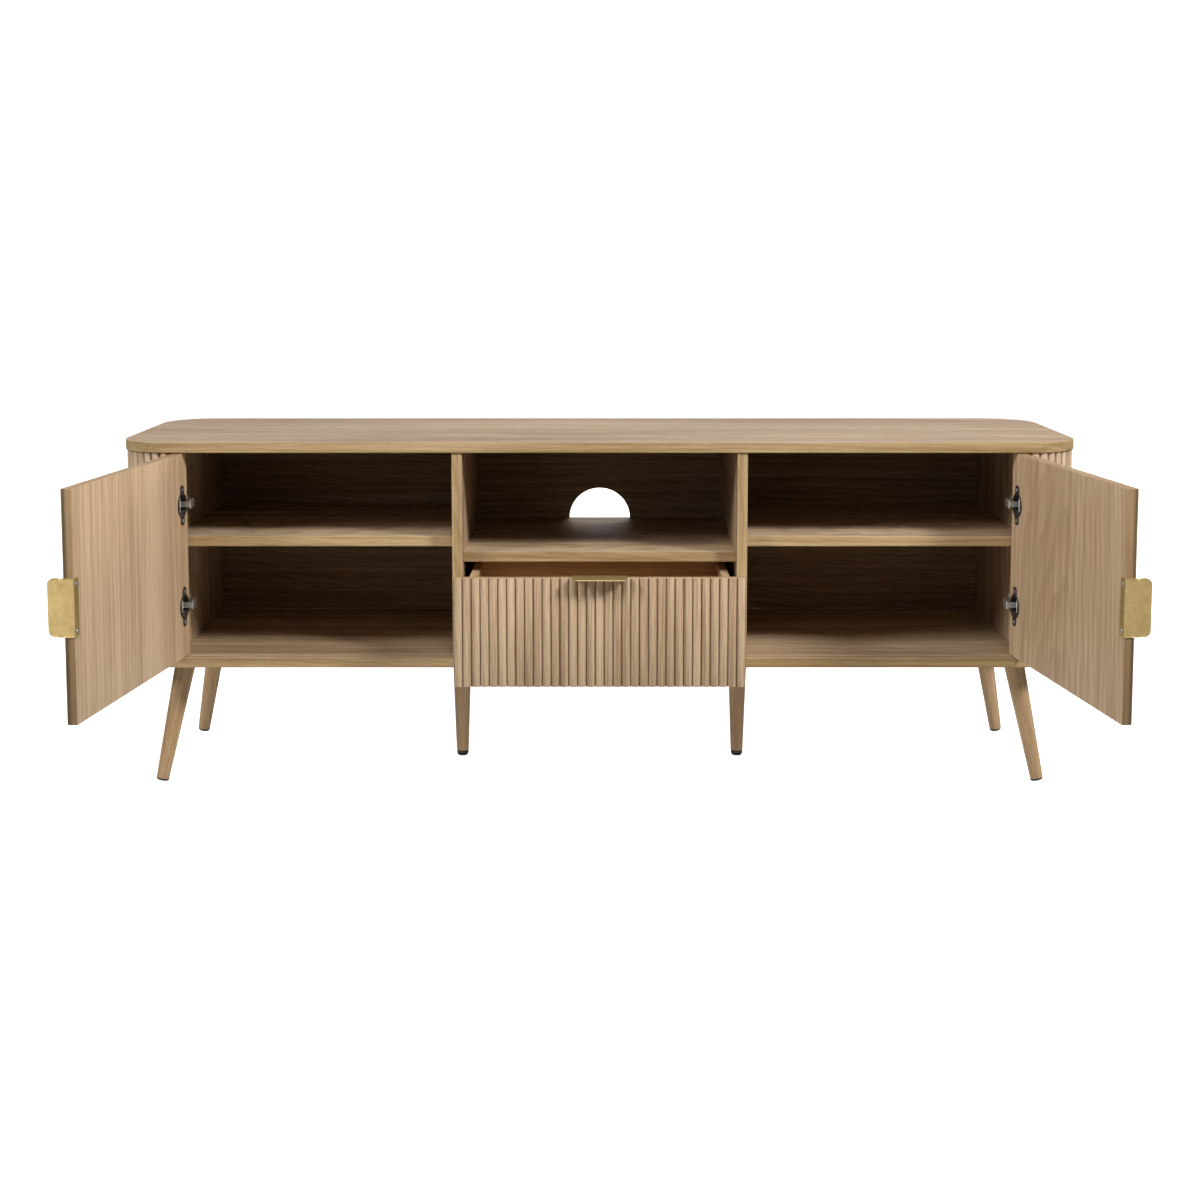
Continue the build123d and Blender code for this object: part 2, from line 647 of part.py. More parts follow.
nodes["leg_bolts"] = group(leg_bolts)
nodes["leg_plate_screws"] = group(leg_screws)

pocket_holes = [
    rod((*place, LEG_HEIGHT - 1), (*place, LEG_HEIGHT + COLLAR_POCKET_DEPTH), COLLAR_POCKET_RADIUS)
    for place in pockets
]
nodes["bottom_panel"] = less(main_panel(BOTTOM_Z), [*pocket_holes, *leg_screws, *bottom_screws])
nodes["top_panel"] = less(main_panel(TOP_Z), top_dowels)

# Hinges: two on each door, built on the right and mirrored.
cups, cup_screws, hinge_pins, arms, hinge_plates, plate_screws, clamps = [], [], [], [], [], [], []
for z in HINGE_HEIGHTS:
    cup, screws = hinge_cup(z)
    cups.append(cup)
    cup_screws += screws
    hinge_pins.append(hinge_pin(z))
    plate, screws, clamp = hinge_plate_set(z)
    hinge_plates.append(plate)
    plate_screws += screws
    clamps.append(clamp)
    arms.append(hinge_arm(z) - clamp)
nodes["hinge_arms"] = group(both_sides(arms))
nodes["hinge_plates"] = group(both_sides(hinge_plates))
nodes["hinge_plate_screws"] = group(both_sides(plate_screws))
nodes["hinge_arm_screws"] = group(both_sides(clamps))

# Uprights, shelves and backs. Each right-hand upright is cut for what is fixed into it.
outer_runner, middle_runner, inner_runner = runner_members()
fixed_runner_screws, moving_runner_screws = runner_screws()
joinery = [*carcass_dowels(), *carcass_screws(), *shelf_pins(), *back_screws()]
side_y = (BATTEN_GLUE - skin_inner_y(SIDE_X[1]), BACK_FRONT_Y)
side_panel = less(block(SIDE_X, side_y, INSIDE_Z), [*joinery, *plate_screws])
partition_y = (FRONT_Y + PARTITION_SETBACK, BACK_FRONT_Y)
partition = less(block(PARTITION_X, partition_y, INSIDE_Z), [*joinery, *fixed_runner_screws])
shelf_y = (FRONT_Y + SHELF_SETBACK, BACK_FRONT_Y - SHELF_PLAY)
shelf_x = (PARTITION_X[1] + SHELF_PLAY, SIDE_INNER - SHELF_PLAY)
side_shelf = block(shelf_x, shelf_y, (SIDE_SHELF_TOP - BOARD, SIDE_SHELF_TOP))
side_back = less(back_panel((sum(PARTITION_X) / 2 + BACK_PLAY, BACK_EDGE_X)), back_screws())
for name, shape in (
    ("side_panel", side_panel),
    ("reeded_end", reeded_end()),
    ("partition", partition),
    ("shelf", side_shelf),
    ("back_panel", side_back),
):
    nodes[f"right_{name}"] = shape
    nodes[f"left_{name}"] = mirrored(shape)
nodes["end_battens"] = group(both_sides(end_battens()))
centre_shelf = block(around(0, BAY_HALF), shelf_y, (CENTRE_SHELF_TOP - BOARD, CENTRE_SHELF_TOP))
nodes["centre_shelf"] = less(centre_shelf, top_dowels)
centre_back = back_panel(around(0, sum(PARTITION_X) / 2 - BACK_PLAY))
nodes["centre_back_panel"] = less(centre_back, [cable_hole(), *rear_screws])
nodes["dowels"] = group(top_dowels)
nodes["carcass_screws"] = group(bottom_screws)
nodes["shelf_pins"] = group(pins)
nodes["back_screws"] = group(rear_screws)

# Doors, built shut on the right, then swung open about the hinge pins.
opened = Pos(*PIVOT, 0) * Rot(0, 0, DOOR_OPEN_DEG) * Pos(-PIVOT[0], -PIVOT[1], 0)
handle, handle_screws = handle_set()
on_door_edge = Pos(DOOR_FREE_X, 0, DOOR_MIDDLE_Z) * Rot(0, 180, 0)
door_handle_screws = [on_door_edge * item for item in handle_screws]
door = reeded_board((DOOR_FREE_X, DOOR_HINGE_X), DOOR_Z, DOOR_REEDS)
door = less(door, [cup_pocket(z) for z in HINGE_HEIGHTS] + cup_screws + door_handle_screws)
for name, shapes in (
    ("door", [door]),
    ("door_handle", [on_door_edge * handle]),
    ("handle_screws", door_handle_screws),
    ("hinge_cups", cups),
    ("cup_screws", cup_screws),
    ("hinge_pins", hinge_pins),
):
    swung = [opened * shape for shape in shapes]
    nodes[f"right_{name}"] = group(swung)
    nodes[f"left_{name}"] = group([mirrored(shape) for shape in swung])

# Drawer, built shut and then drawn out. The runners' middle members come half as far.
drawn = Pos(0, -DRAWER_OPEN, 0)
half_drawn = Pos(0, -DRAWER_OPEN / 2, 0)
on_drawer_edge = Pos(0, 0, DRAWER_TOP) * Rot(0, -90, 0)
drawer_handle_screws = [on_drawer_edge * item for item in handle_screws]
front = reeded_board(around(0, DRAWER_HALF), (DOOR_Z[0], DRAWER_TOP), DRAWER_REEDS)
side, back, floor, box_screws = drawer_box()
side = less(side, box_screws + moving_runner_screws)
nodes["drawer_front"] = drawn * less(front, drawer_handle_screws)
nodes["drawer_right_side"] = drawn * side
nodes["drawer_left_side"] = drawn * mirrored(side)
nodes["drawer_back"] = drawn * less(back, both_sides(box_screws))
nodes["drawer_floor"] = drawn * floor
nodes["drawer_handle"] = drawn * (on_drawer_edge * handle)
nodes["drawer_handle_screws"] = group([drawn * item for item in drawer_handle_screws])
drawer_screws = both_sides(box_screws + moving_runner_screws)
nodes["drawer_screws"] = group([drawn * item for item in drawer_screws])
drawer_runners = both_sides([less(inner_runner, moving_runner_screws)])
nodes["drawer_runners"] = group([drawn * item for item in drawer_runners])
nodes["right_middle_runner"] = half_drawn * middle_runner
nodes["left_middle_runner"] = half_drawn * mirrored(middle_runner)
nodes["cabinet_runners"] = group(both_sides([less(outer_runner, fixed_runner_screws)]))
nodes["runner_screws"] = group(both_sides(fixed_runner_screws))

os.makedirs("parts", exist_ok=True)
for name, shape in nodes.items():
    export_step(group([shape]), f"parts/{name}.step")
print(len(nodes), "nodes")
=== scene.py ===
import json
from math import cos, pi, radians, sin

import bmesh
import bpy
import numpy as np
from mathutils import Matrix, Vector


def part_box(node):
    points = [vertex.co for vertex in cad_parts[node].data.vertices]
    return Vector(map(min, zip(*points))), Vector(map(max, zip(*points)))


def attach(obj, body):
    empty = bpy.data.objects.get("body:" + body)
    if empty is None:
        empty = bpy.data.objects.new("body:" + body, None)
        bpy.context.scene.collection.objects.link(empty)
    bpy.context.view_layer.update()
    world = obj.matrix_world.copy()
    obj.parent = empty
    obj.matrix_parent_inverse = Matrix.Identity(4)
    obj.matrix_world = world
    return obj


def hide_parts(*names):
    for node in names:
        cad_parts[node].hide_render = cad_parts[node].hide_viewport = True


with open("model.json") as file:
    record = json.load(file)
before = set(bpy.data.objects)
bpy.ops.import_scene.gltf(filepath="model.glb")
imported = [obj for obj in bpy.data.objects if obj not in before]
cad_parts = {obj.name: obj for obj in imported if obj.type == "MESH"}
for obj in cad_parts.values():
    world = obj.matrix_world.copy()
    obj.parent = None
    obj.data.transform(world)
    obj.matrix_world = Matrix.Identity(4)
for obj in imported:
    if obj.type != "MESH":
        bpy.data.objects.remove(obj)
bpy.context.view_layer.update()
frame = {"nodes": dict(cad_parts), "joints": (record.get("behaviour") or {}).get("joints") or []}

# ---------------------------------------------------------------- the room
# A wide pale paper floor and a white surround, and soft lamps from the right, left, front and
# back, with one lying on the floor for the light that pale paper throws back up. White cards
# only show in reflections. The camera faces the cabinet's front and looks slightly down.

BOX_FACES = [(0, 1, 3, 2), (4, 6, 7, 5), (0, 4, 5, 1), (2, 3, 7, 6), (0, 2, 6, 4), (1, 5, 7, 3)]
for name, low, high, faces, glow, seen in (
    ("floor", (-9, -9, 0), (9, 9, 0), [(0, 1, 3, 2)], 0.97, (True, False)),
    ("surround", (-24, -24, -24), (24, 24, 24), BOX_FACES, 1.1, (True, False)),
    ("left_card", (-4.4, -4.6, -0.4), (-1.4, -4.5, 2.8), BOX_FACES, 2.2, (False, True)),
    ("right_card", (1.6, -4.6, -0.4), (4.4, -4.5, 2.6), BOX_FACES, 0.9, (False, True)),
    ("rear_card", (-4.0, 3.0, 0.3), (4.0, 3.1, 4.0), BOX_FACES, 0.45, (False, True)),
):
    mesh = bpy.data.meshes.new(name)
    corners = [(x, y, z) for z in (low[2], high[2]) for y in (low[1], high[1]) for x in (low[0], high[0])]
    mesh.from_pydata(corners, [], faces)
    paper = bpy.data.materials.new(name + "_paper")
    paper.use_nodes = True
    sockets = paper.node_tree.nodes["Principled BSDF"].inputs
    sockets["Base Color"].default_value = (0.86, 0.86, 0.86, 1)
    sockets["Roughness"].default_value = 0.9
    sockets["Specular IOR Level"].default_value = 0.1
    sockets["Emission Color"].default_value = (1, 1, 1, 1)
    sockets["Emission Strength"].default_value = glow
    mesh.materials.append(paper)
    made = bpy.data.objects.new(name, mesh)
    made.visible_camera, made.visible_glossy = seen
    made.visible_diffuse = made.visible_shadow = made.visible_transmission = False
    bpy.context.scene.collection.objects.link(made)

sky = bpy.data.worlds.new("sky")
sky.use_nodes = True
sky.node_tree.nodes["Background"].inputs["Color"].default_value = (1.0, 0.98, 0.95, 1)
sky.node_tree.nodes["Background"].inputs["Strength"].default_value = 0.05
bpy.context.scene.world = sky
bpy.context.scene.view_settings.view_transform = "Standard"

for lamp_name, place, target, size, power in (
    ("key_lamp", (2.9, -2.0, 2.75), (0.0, -0.2, 0.3), 0.8, 120.0),
    ("left_lamp", (-3.2, -2.0, 2.5), (0.0, -0.2, 0.3), 1.4, 78.0),
    ("front_lamp", (0.2, -2.4, 3.9), (0.0, -0.2, 0.3), 1.2, 58.0),
    ("back_lamp", (0.6, 3.2, 1.9), (0.0, 0.2, 0.3), 1.6, 75.0),
    ("floor_bounce", (0.0, -0.9, 0.004), (0.0, -0.9, 1.0), 2.6, 9.0),
):
    lamp = bpy.data.lights.new(lamp_name, "AREA")
    lamp.shape = "DISK"
    lamp.size = size
    lamp.energy = power
    held = bpy.data.objects.new(lamp_name, lamp)
    held.visible_camera = False
    held.visible_glossy = place[1] < 0
    held.location = place
    held.rotation_euler = (Vector(target) - Vector(place)).to_track_quat("-Z", "Y").to_euler()
    bpy.context.scene.collection.objects.link(held)

lens = bpy.data.cameras.new("camera")
lens.lens = 54.15
lens.shift_y = -0.14
camera = bpy.data.objects.new("camera", lens)
camera.location = (0.0005, -2.971, 0.851)
camera.rotation_euler = (radians(90 - 5.86), 0, 0)
bpy.context.scene.collection.objects.link(camera)
bpy.context.scene.camera = camera

# ---------------------------------------------------------------- top and bottom panels
# Two boards with 80 mm corners, covered in oak-grain foil, with a strip of edging bent round
# the rim and its arrises eased. The uprights are dowelled and screwed between them.


class Value:
    """A socket of a finish. Arithmetic on it adds Math nodes and gives another Value."""

    def __init__(self, finish, socket):
        self.finish, self.socket = finish, socket

    def _math(self, operation, *terms, clamp=False):
        settings = {"operation": operation, "use_clamp": clamp}
        return self.finish.node("ShaderNodeMath", settings, dict(enumerate(terms)))

    def __add__(self, other):
        return self._math("ADD", self, other)

    def __radd__(self, other):
        return self._math("ADD", other, self)

    def __sub__(self, other):
        return self._math("SUBTRACT", self, other)

    def __rsub__(self, other):
        return self._math("SUBTRACT", other, self)

    def __mul__(self, other):
        return self._math("MULTIPLY", self, other)

    def __rmul__(self, other):
        return self._math("MULTIPLY", other, self)

    def __truediv__(self, other):
        return self._math("DIVIDE", self, other)

    def __pow__(self, other):
        return self._math("POWER", self, other)

    def fraction(self):
        return self._math("FRACT", self)

    def step(self, low, high):
        """0 below low, 1 above high and an S-curve between them."""
        settings = {"interpolation_type": "SMOOTHSTEP"}
        sockets = {"Value": self, "From Min": low, "From Max": high}
        return self.finish.node("ShaderNodeMapRange", settings, sockets)


class Finish:
    """A material while it is being made."""

    def __init__(self, name):
        self.material = bpy.data.materials.new(name)
        self.material.use_nodes = True
        self.tree = self.material.node_tree
        self.shader = self.tree.nodes["Principled BSDF"]
        self.here = self.node("ShaderNodeTexCoord", output="Object")

    def feed(self, socket, value):
        if isinstance(value, Value):
            self.tree.links.new(value.socket, socket)
        else:
            socket.default_value = value

    def node(self, kind, settings=(), sockets=(), output=0):
        """Adds a node: its settings first, then the value or link of each socket."""
        made = self.tree.nodes.new(kind)
        for key, value in dict(settings).items():
            setattr(made, key, value)
        for key, value in dict(sockets).items():
            self.feed(made.inputs[key], value)
        return Value(self, made.outputs[output])

    def noise(self, place, across, along, detail=3.0, rough=0.55):
        """Noise with so many waves to the metre across and along the board's third direction."""
        sockets = {0: place, 1: (across, across, along)}
        drawn = self.node("ShaderNodeVectorMath", {"operation": "MULTIPLY"}, sockets)
        sockets = {"Vector": drawn, "Scale": 1.0, "Detail": detail, "Roughness": rough}
        return self.node("ShaderNodeTexNoise", {}, sockets)

    def mix(self, share, first, second):
        settings = {"data_type": "RGBA"}
        return self.node("ShaderNodeMix", settings, {0: share, 6: first, 7: second}, output=2)

    def mark(self, name):
        """A value stored at the piece's own corners, 0 where it has none."""
        return self.node("ShaderNodeAttribute", {"attribute_name": name}, output="Fac")

    def set(self, **sockets):
        for key, value in sockets.items():
            self.feed(self.shader.inputs[key.replace("_", " ")], value)

    def bump(self, height, strength, distance):
        sockets = {"Strength": strength, "Distance": distance, "Height": height}
        self.set(Normal=self.node("ShaderNodeBump", {}, sockets))


def paint(red, green, blue):
    """Linear colour from the 0 to 255 numbers on a paint chart."""
    chart = np.array([red, green, blue]) / 255
    linear = np.where(chart <= 0.04045, chart / 12.92, ((chart + 0.055) / 1.055) ** 2.4)
    return (*linear.tolist(), 1.0)


def oak(name, axes, pith, pale, deep, ring=0.0055, lean=0.04, figure=1.0, rough=0.5):
    """Oak-grain foil on a board whose directions across, through and along the grain are axes.

    Growth rings are cylinders round a line that passes pith and leans along the grain, so a
    face cuts them in long arches. Pores and fibres are noise drawn out along the grain.
    """
    f = Finish(name)
    turn = Matrix(axes).to_euler()
    sockets = {"Vector": f.here, "Rotation": turn, "Location": pith}
    board = f.node("ShaderNodeMapping", {"vector_type": "POINT"}, sockets)
    across, through, along = (
        f.node("ShaderNodeSeparateXYZ", {}, {0: board}, output=index) for index in range(3)
    )
    sway = f.noise(board, 5.0, 0.9, detail=2.0) - 0.5
    wave = f.noise(board, 38.0, 2.0, detail=2.0) - 0.5
    depth = through + along * lean + sway * 0.09
    side = across + sway * 0.05 + wave * 0.006
    growth = (side * side + depth * depth) ** 0.5 / ring
    late = growth.fraction().step(0.25, 0.92)
    late = late - growth.fraction().step(0.93, 1.0)
    cloud = f.noise(board, 9.0, 1.1, detail=2.0)
    streak = f.noise(board, 95.0, 2.4, detail=4.0, rough=0.6)
    fibre = f.noise(board, 900.0, 22.0, detail=3.0, rough=0.6)
    pore = f.noise(board, 1500.0, 60.0, detail=1.0).step(0.6, 0.72) * (0.35 + late * 0.65)
    tone = (streak - 0.5) * 2.6 + (cloud - 0.5) * 1.6 + (late - 0.3) * (0.3 * figure) + (fibre - 0.5) * 1.6
    colour = f.mix((tone + 0.5).step(-0.25, 1.25), pale, deep)
    dark = tuple(0.42 * channel for channel in deep[:3]) + (1.0,)
    colour = f.mix(pore * 0.38, colour, dark)
    rim = f.mark("rim") * f.noise(f.here, 160.0, 160.0, detail=3.0).step(0.35, 0.7)
    worn = tuple(min(1.0, 1.25 * channel) for channel in pale[:3]) + (1.0,)
    colour = f.mix(rim * 0.5, colour, worn)
    # Painted shade: the bottoms of the reeds' grooves are darkened, standing in for the shade that falls
    # there.
    groove = f.mark("groove").step(0.45, 1.0)
    colour = f.mix(groove * 0.8, colour, tuple(0.3 * channel for channel in deep[:3]) + (1.0,))
    smudge = f.noise(f.here, 14.0, 14.0, detail=2.0)
    f.set(Base_Color=colour, Roughness=rough + fibre * 0.14 + smudge * 0.12 - 0.12 - rim * 0.08)
    f.shader.inputs["Specular IOR Level"].default_value = 0.2
    f.bump(fibre * 0.5 + late * 0.2 - pore, 0.35, 0.00025)
    return f.material


def rounded(box_x, box_y, radius, steps):
    """Outline of a rectangle with rounded corners, as a function of how far it is set in.

    Each corner is a quarter circle whose radius shrinks by the inset, down to a point.
    """
    turn = np.linspace(0, pi / 2, steps)

    def outline(inset):
        bend = max(radius - inset, 0.0)
        reach = max(radius, inset)
        points = []
        for quarter, (x, y) in enumerate(
            ((box_x[1] - reach, box_y[1] - reach), (box_x[0] + reach, box_y[1] - reach),
             (box_x[0] + reach, box_y[0] + reach), (box_x[1] - reach, box_y[0] + reach))
        ):
            angle = turn + quarter * pi / 2
            points.append(np.stack([x + bend * np.cos(angle), y + bend * np.sin(angle)], axis=1))
        return np.concatenate(points)

    return outline


def eased_rows(z, easing, lip=0.0012):
    """Height, inset and wear of each ring from a board's underside to its upper face.

    The arris is a quarter circle of the easing, with a narrow flat ring on each side of it.
    """
    angle = np.linspace(0, pi / 2, 5)
    inset = easing * (1 - np.sin(angle))
    rise = easing * (1 - np.cos(angle))
    wear = np.sin(2 * angle)
    height = np.concatenate([[0], rise, [easing + lip]])
    inset = np.concatenate([[easing + lip], inset, [0]])
    wear = np.concatenate([[0], wear, [0]])
    heights = np.concatenate([z[0] + height, z[1] - height[::-1]])
    return heights, np.concatenate([inset, inset[::-1]]), np.concatenate([wear, wear[::-1]])


def closed(points):
    """A loop of points with its first one repeated at its end."""
    return np.concatenate([points, points[:1]])


def board_patch(outline, z, easing, banded):
    """One eased board: rings of its outline up the edge, each face drawn in to its middle.

    The edge counts as edging wherever its outward direction passes the banded test.
    """
    heights, insets, wear = eased_rows(z, easing)
    rings = [np.column_stack([closed(outline(i)), np.full(len(closed(outline(i))), h)])
             for h, i in zip(heights, insets)]
    middle = rings[0].mean(axis=0)
    rings = [np.broadcast_to((*middle[:2], z[0]), rings[0].shape), *rings]
    rings.append(np.broadcast_to((*middle[:2], z[1]), rings[0].shape))
    grid = np.stack(rings)
    wear = np.concatenate([[0], wear, [0]])[:, None] * np.ones(grid.shape[1])
    run = np.diff(closed(outline(easing * 0.2)), axis=0)
    out = np.stack([run[:, 1], -run[:, 0]], axis=1) / (np.hypot(*run.T)[:, None] + 1e-9)
    kinds = np.zeros((len(grid) - 1, grid.shape[1] - 1), int)
    kinds[2:-2] = banded(out)
    return grid, kinds, {"rim": wear}


def quad_mesh(name, grids):
    """A mesh of grids of points, with neighbouring points of each grid joined by quads."""
    points, faces = [], []
    start = 0
    for grid in grids:
        rows, columns = grid.shape[:2]
        index = start + np.arange(rows * columns).reshape(rows, columns)
        quads = [index[:-1, :-1], index[:-1, 1:], index[1:, 1:], index[1:, :-1]]
        points.append(grid.reshape(-1, 3))
        faces.append(np.stack(quads, axis=-1).reshape(-1, 4))
        start += rows * columns
    mesh = bpy.data.meshes.new(name)
    mesh.from_pydata(np.concatenate(points).tolist(), [], np.concatenate(faces).tolist())
    return mesh


def sealed(mesh):
    """Merges the points at one place and turns every face outwards."""
    shell = bmesh.new()
    shell.from_mesh(mesh)
    bmesh.ops.remove_doubles(shell, verts=shell.verts, dist=2e-6)
    bmesh.ops.recalc_face_normals(shell, faces=shell.faces)
    shell.to_mesh(mesh)
    shell.free()


def piece(name, patches, finishes, body, stands_for, crease=38.0):
    """One mesh object from grids of points, each with its finishes and marks."""
    kinds = []
    marks = {"rim": [], "groove": []}
    for grid, kind, mark in patches:
        rows, columns = grid.shape[:2]
        kinds.append(np.broadcast_to(kind, (rows - 1, columns - 1)).reshape(-1))
        for key, values in marks.items():
            values.append(np.broadcast_to(mark.get(key, 0.0), (rows, columns)).reshape(-1))
    mesh = quad_mesh(name, [grid for grid, kind, mark in patches])
    for material in finishes:
        mesh.materials.append(material)
    mesh.polygons.foreach_set("material_index", np.concatenate(kinds).astype(np.int32))
    for key, values in marks.items():
        layer = mesh.attributes.new(key, "FLOAT", "POINT")
        layer.data.foreach_set("value", np.concatenate(values).astype(np.float32))
    sealed(mesh)
    mesh.shade_smooth()
    mesh.set_sharp_from_angle(angle=radians(crease))
    made = bpy.data.objects.new(name, mesh)
    bpy.context.scene.collection.objects.link(made)
    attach(made, body)
    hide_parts(*stands_for)
    return made


GRAIN_X = ((0, 1, 0), (0, 0, 1), (1, 0, 0))
GRAIN_Z_WIDE_X = ((1, 0, 0), (0, 1, 0), (0, 0, 1))
GRAIN_Z_WIDE_Y = ((0, 1, 0), (-1, 0, 0), (0, 0, 1))
PALE_OAK, DEEP_OAK = paint(206, 182, 152), paint(150, 122, 92)
BAND_PALE, BAND_DEEP = paint(206, 178, 134), paint(158, 128, 84)

PANEL_CORNER, PANEL_EASING = 0.080, 0.001

# The top's foil is painted darker than the bottom's, as painted shade against the stronger light that falls
# on the top.
top_oak = oak("top_oak", GRAIN_X, (0.45, 0.25, 0.3), paint(192, 166, 136), paint(138, 111, 83),
              ring=0.009, figure=0.8)
bottom_oak = oak("bottom_oak", GRAIN_X, (0.3, 0.1, -0.4), PALE_OAK, DEEP_OAK, ring=0.008)
rim_band = oak("rim_band", GRAIN_X, (0.2, 0.9, 0.1), BAND_PALE, BAND_DEEP, ring=0.006, figure=0.5)
for panel, face in (("top_panel", top_oak), ("bottom_panel", bottom_oak)):
    low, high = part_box(panel)
    shape = rounded((low.x, high.x), (low.y, high.y), PANEL_CORNER, 24)
    rim = board_patch(shape, (low.z, high.z), PANEL_EASING, lambda out: np.ones(len(out), int))
    piece(panel.replace("panel", "board"), [rim], [face, rim_band], "cabinet", [panel])

# ---------------------------------------------------------------- uprights and shelves
# Foil-covered 16 mm boards with edging on their front edges only. The side shelves lie loose
# on pins; the centre shelf is dowelled between the partitions.


def faces_front(out):
    """1 where the edge looks forwards, else 0."""
    return (out[:, 1] < -0.7).astype(int)


upright_oak = oak("upright_oak", GRAIN_Z_WIDE_Y, (0.12, 0.07, 0.5), PALE_OAK, DEEP_OAK)
shelf_oak = oak("shelf_oak", GRAIN_X, (0.1, 0.5, 0.15), PALE_OAK, DEEP_OAK)
edge_upright = oak("edge_upright", GRAIN_Z_WIDE_X, (0.3, 0.6, 0.2), BAND_PALE, BAND_DEEP, figure=0.5)
edge_shelf = oak("edge_shelf", GRAIN_X, (0.7, 0.3, 0.6), BAND_PALE, BAND_DEEP, figure=0.5)


def plain_board(node, body, face, edge, easing=0.0006):
    """An eased rectangular board that fills its CAD node's box."""
    low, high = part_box(node)
    shape = rounded((low.x, high.x), (low.y, high.y), easing, 5)
    patch = board_patch(shape, (low.z, high.z), easing, faces_front)
    return piece(node + "_board", [patch], [face, edge], body, [node])


for side in ("left", "right"):
    plain_board(side + "_side_panel", "cabinet", upright_oak, edge_upright)
    plain_board(side + "_partition", "cabinet", upright_oak, edge_upright)
    plain_board(side + "_shelf", "cabinet", shelf_oak, edge_shelf)
plain_board("centre_shelf", "cabinet", shelf_oak, edge_shelf)

# ---------------------------------------------------------------- wrapped ends
# A reeded skin, milled on its outside, bent round both corners of each end and glued to
# upright battens. Its grain stands upright and its ends butt against the two panels.


def reeds(valleys, crests, steps):
    """Plan line over a row of reeds and how deep in the groove each of its points is.

    Each reed is the arc through its two valley points and its crest, so its height over the
    chord is the root of the arc's radius squared less the distance from the middle squared,
    less the arc's depth below the chord.
    """
    near, far = valleys[:-1, None], valleys[1:, None]
    middle = (near + far) / 2
    half = np.linalg.norm(far - near, axis=2, keepdims=True) / 2
    rise = crests[:, None] - middle
    height = np.linalg.norm(rise, axis=2, keepdims=True)
    bend = (half**2 + height**2) / (2 * height)
    t = np.linspace(-1, 1, steps + 1)[None, :-1, None]
    lift = np.sqrt(bend**2 - (t * half) ** 2) - (bend - height)
    line = middle + (far - near) / 2 * t + rise / height * lift
    groove = np.broadcast_to(t[..., 0] ** 2, line.shape[:2]).reshape(-1)
    line = np.concatenate([line.reshape(-1, 2), valleys[-1:]])
    return line, np.append(groove, 1.0)


def reeded_patches(front, back, z, groove, easing=0.0004):
    """A board between two plan lines with as many points each, closed above and below.

    Rings of the whole outline climb from z to z, set in along the outline's own normals at
    the eased arrises; the end faces join each front point to its back point.
    """
    loop = np.concatenate([front, back[::-1]])
    run = np.roll(loop, -1, axis=0) - np.roll(loop, 1, axis=0)
    inward = np.stack([-run[:, 1], run[:, 0]], axis=1) / np.linalg.norm(run, axis=1)[:, None]
    area = np.sum(loop[:, 0] * np.roll(loop[:, 1], -1) - loop[:, 1] * np.roll(loop[:, 0], -1))
    inward = inward * np.sign(area)
    angle = np.linspace(0, pi / 2, 3)
    heights = np.concatenate([z[0] + easing * (1 - np.cos(angle)), z[1] - easing * (1 - np.cos(angle[::-1]))])
    insets = np.concatenate([easing * (1 - np.sin(angle)), easing * (1 - np.sin(angle[::-1]))])
    rings = [np.column_stack([loop + inward * i, np.full(len(loop), h)]) for h, i in zip(heights, insets)]
    grid = np.stack([closed(ring) for ring in rings])
    deep = closed(np.concatenate([groove, np.zeros(len(back))])) * np.ones((len(grid), 1))
    kinds = np.full(grid.shape[1] - 1, 2)
    kinds[: len(front) - 1] = 0
    kinds[len(front) : len(loop) - 1] = 1
    rim = np.abs(np.linspace(-1, 1, len(grid)))[:, None] ** 2 * np.ones(grid.shape[1])
    patches = [(grid, kinds[None, :], {"groove": deep, "rim": rim})]
    for ring in (grid[0], grid[-1]):
        patches.append((np.stack([ring[: len(front)], ring[len(front) : len(loop)][::-1]]), 2, {}))
    return patches


REED_DEPTH, REED_PITCH = 0.0035, 0.01285
REED_OAK, REED_OAK_DEEP = paint(224, 198, 168), paint(176, 146, 114)
SKIN_THICKNESS = 0.009
low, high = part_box("right_reeded_end")
panel_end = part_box("top_panel")[1]
corner = (panel_end.x - PANEL_CORNER, panel_end.y - PANEL_CORNER)
crest_radius = high.x - corner[0]
skin_radius = crest_radius - SKIN_THICKNESS
straight = corner[0] - low.x
skin_length = 2 * straight + pi * skin_radius + 2 * corner[1]
reed_count = round(skin_length / REED_PITCH)


def skin_line(distance, radius):
    """Plan points of the wrapped end at distances along its backing, for a layer's radius.

    A short straight run, a quarter circle, the long side, a quarter circle and a straight
    run; the rear half mirrors the front half.
    """
    half = skin_length / 2
    d = np.minimum(distance, skin_length - distance)
    angle = np.clip((d - straight) / skin_radius, 0, pi / 2)
    x = corner[0] + np.minimum(d - straight, 0) + radius * np.sin(angle)
    y = -corner[1] - radius * np.cos(angle) + np.maximum(d - straight - skin_radius * pi / 2, 0)
    return np.stack([x, np.where(distance > half, -y, y)], axis=1)


ends = np.linspace(0, skin_length, reed_count + 1)
outer, groove = reeds(
    skin_line(ends, crest_radius - REED_DEPTH), skin_line((ends[1:] + ends[:-1]) / 2, crest_radius), 10
)
inner = skin_line(np.linspace(0, skin_length, len(outer)), skin_radius)
reed_oak = oak("reed_oak", GRAIN_Z_WIDE_Y, (0.2, 0.5, 0.3), REED_OAK, REED_OAK_DEEP, figure=0.7)
raw_board = oak("raw_board", GRAIN_X, (0.2, 0.5, 0.3), paint(206, 176, 132), paint(160, 126, 88),
                figure=0.3, rough=0.8)
for side, flip in (("right", (1, 1)), ("left", (-1, 1))):
    patches = reeded_patches(outer * flip, inner * flip, (low.z, high.z), groove)
    piece(side + "_wrapped_end", patches, [reed_oak, raw_board, raw_board], "cabinet",
          [side + "_reeded_end"], crease=50.0)

# ---------------------------------------------------------------- doors
# Reeded boards hung on two concealed hinges each, standing open. Foil wraps the reeds; the
# inner face shows arched upright grain, and the cut edges are closed with darker edging.

